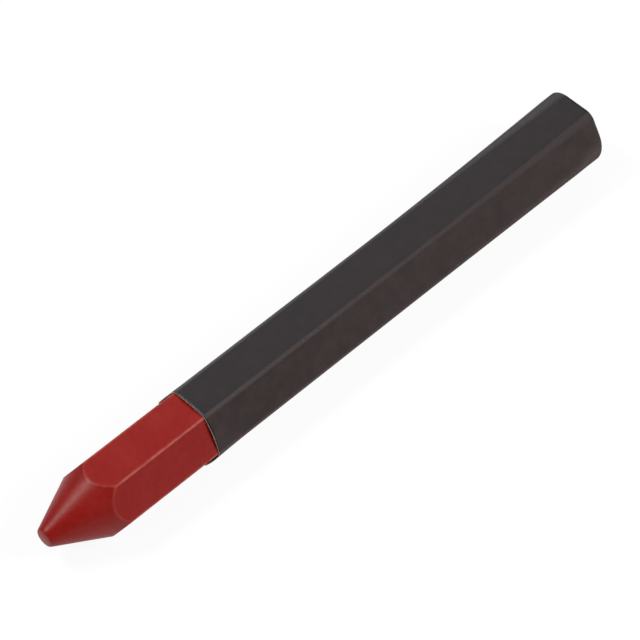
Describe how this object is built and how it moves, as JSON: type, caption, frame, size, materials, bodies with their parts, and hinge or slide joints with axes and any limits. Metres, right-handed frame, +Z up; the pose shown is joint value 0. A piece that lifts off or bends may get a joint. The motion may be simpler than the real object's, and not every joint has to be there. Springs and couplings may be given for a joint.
{
  "type": "marking crayon",
  "caption": "Hexagonal wax marking crayon with a turned point, held in a loose rolled paper sleeve that it slides through as it wears.",
  "frame": {"origin": "centre of the crayon's footprint, on the surface that it lies on", "axes": "+X along the crayon from its point to its butt end, +Z up from the flat that it lies on, +Y across it"},
  "size_m": [0.12, 0.0146, 0.0132],
  "materials": {
    "wax": "satin",
    "sleeve_paper": "satin",
    "glue": "gloss"
  },
  "bodies": {
    "sleeve": {"paper_sleeve": "sleeve_paper", "seam_glue": "glue"},
    "stick": {"wax_stick": "wax"}
  },
  "joints": [
    {"name": "stick_slide", "type": "slide", "parent": "sleeve", "child": "stick", "axis": [-1, 0, 0], "range_m": [0, 0.06]}
  ]
}
